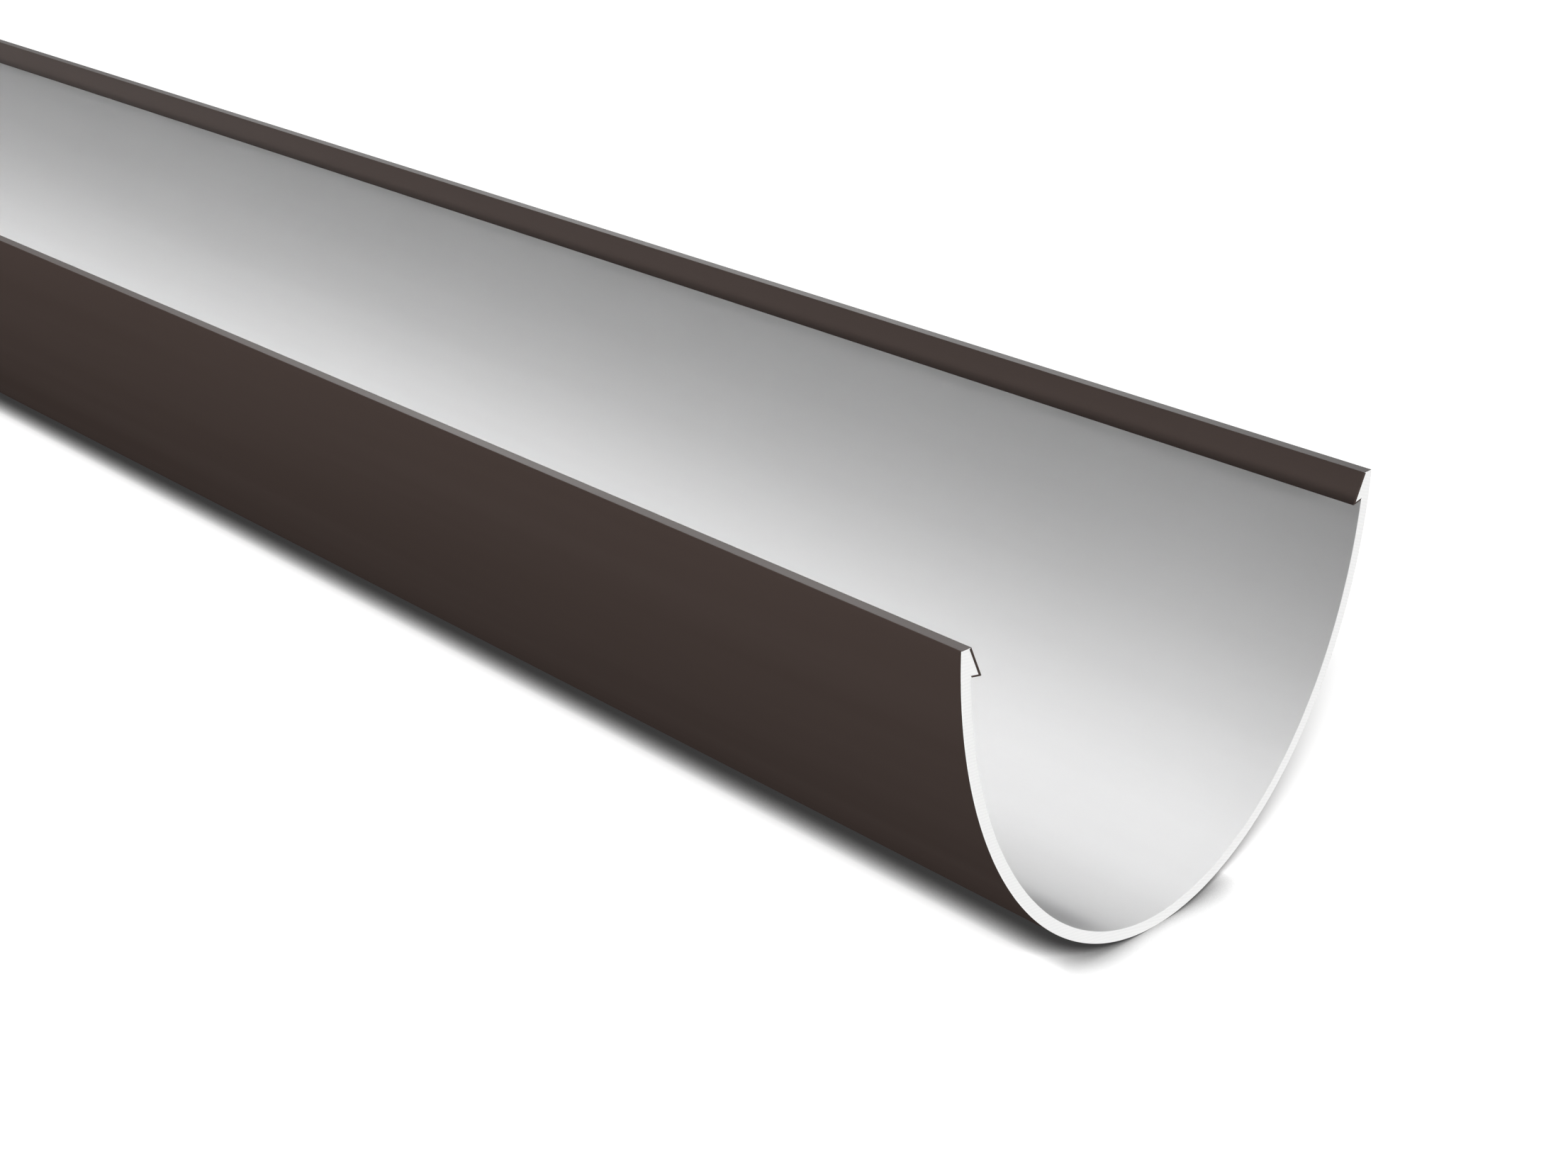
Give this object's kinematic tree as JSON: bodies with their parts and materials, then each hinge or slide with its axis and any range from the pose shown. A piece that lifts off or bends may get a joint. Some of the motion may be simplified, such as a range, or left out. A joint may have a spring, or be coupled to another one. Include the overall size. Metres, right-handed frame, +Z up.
{
  "type": "rain gutter",
  "caption": "Deep half-elliptical rain gutter length with a solid hooked bead inside each rim, brown outside and white inside, open at the top and both ends.",
  "frame": {"origin": "middle of the length, on the line where the curved bottom touches the ground", "axes": "+X along the gutter, +Z up out of its open top, +Y across it from one rim to the other"},
  "size_m": [2, 0.125, 0.0829],
  "materials": {
    "brown_pvc": "satin"
  },
  "bodies": {
    "root": {"gutter": "brown_pvc"}
  },
  "joints": []
}
